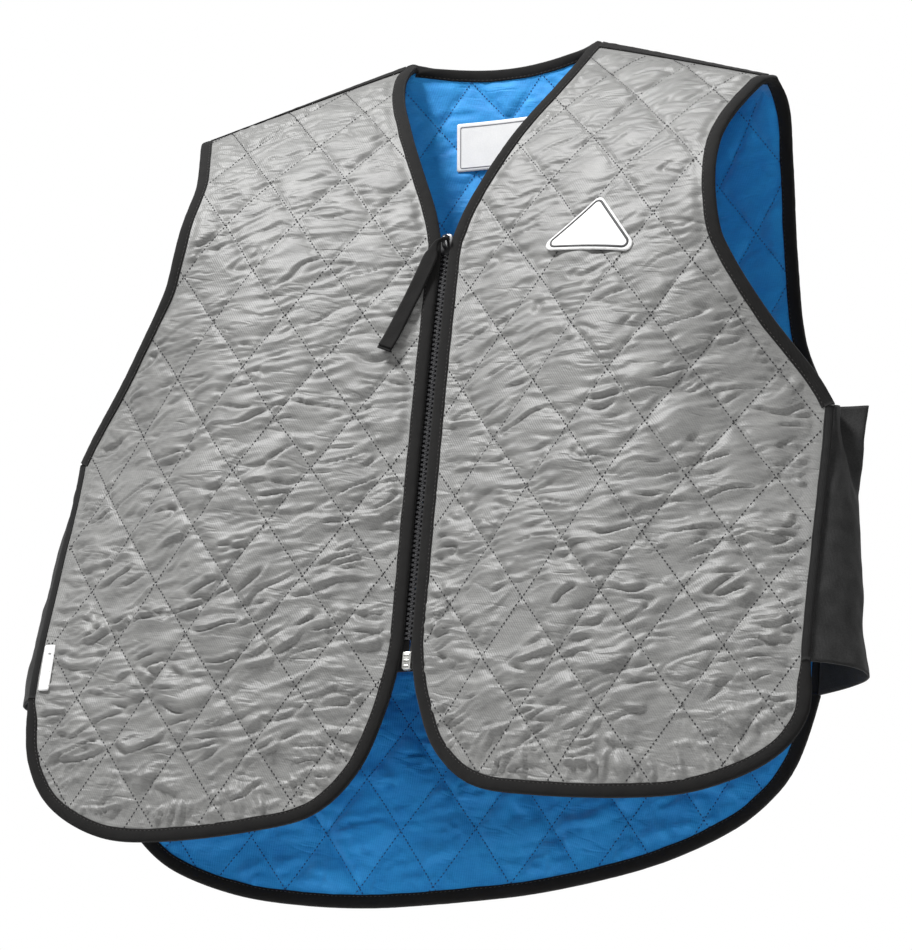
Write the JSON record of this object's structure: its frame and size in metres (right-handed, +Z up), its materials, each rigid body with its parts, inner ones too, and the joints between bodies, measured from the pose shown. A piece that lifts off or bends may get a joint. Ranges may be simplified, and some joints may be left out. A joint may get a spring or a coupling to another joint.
{
  "type": "cooling vest",
  "caption": "Quilted sleeveless cooling vest with a V neck, front zip, bound edges and stretch side gussets, standing in its worn form.",
  "frame": {"origin": "midway between the two points where the shoulder ridges meet the neck, the place that rests on a wearer's shoulders", "axes": "+Z up, the front of the vest faces -Y, the wearer's left is +X"},
  "size_m": [0.5814, 0.1589, 0.6155],
  "materials": {
    "shell_cloth": "silver-grey woven nylon with a soft sheen",
    "lining_cloth": "matt blue woven polyester",
    "binding_tape": "matt ribbed tape",
    "stretch_cloth": "matt ribbed elastic",
    "zip_tape": "matt woven tape",
    "zip_teeth": "moulded, slightly glossy",
    "slider_metal": "black enamel",
    "box_metal": "satin silver",
    "label_cloth": "woven satin label"
  },
  "bodies": {
    "root": {"back_shell": "shell_cloth", "back_lining": "lining_cloth", "front_panel_left": "shell_cloth", "front_panel_right": "shell_cloth", "binding_front_left": "binding_tape", "binding_front_right": "binding_tape", "binding_armhole_left": "binding_tape", "binding_armhole_right": "binding_tape", "binding_back_neck": "binding_tape", "binding_back_hem": "binding_tape", "shoulder_seam_left": "binding_tape", "shoulder_seam_right": "binding_tape", "side_seam_front_left": "stretch_cloth", "side_seam_front_right": "stretch_cloth", "side_seam_back_left": "stretch_cloth", "side_seam_back_right": "stretch_cloth", "side_band_left": "stretch_cloth", "side_band_right": "stretch_cloth", "zip_tape_left": "zip_tape", "zip_tape_right": "zip_tape", "zip_teeth_left": "zip_teeth", "zip_teeth_right": "zip_teeth", "zip_slider": "slider_metal", "zip_box": "box_metal", "zip_pull_ribbon": "binding_tape", "chest_badge": "label_cloth", "neck_label": "label_cloth", "side_label": "label_cloth"}
  },
  "joints": []
}
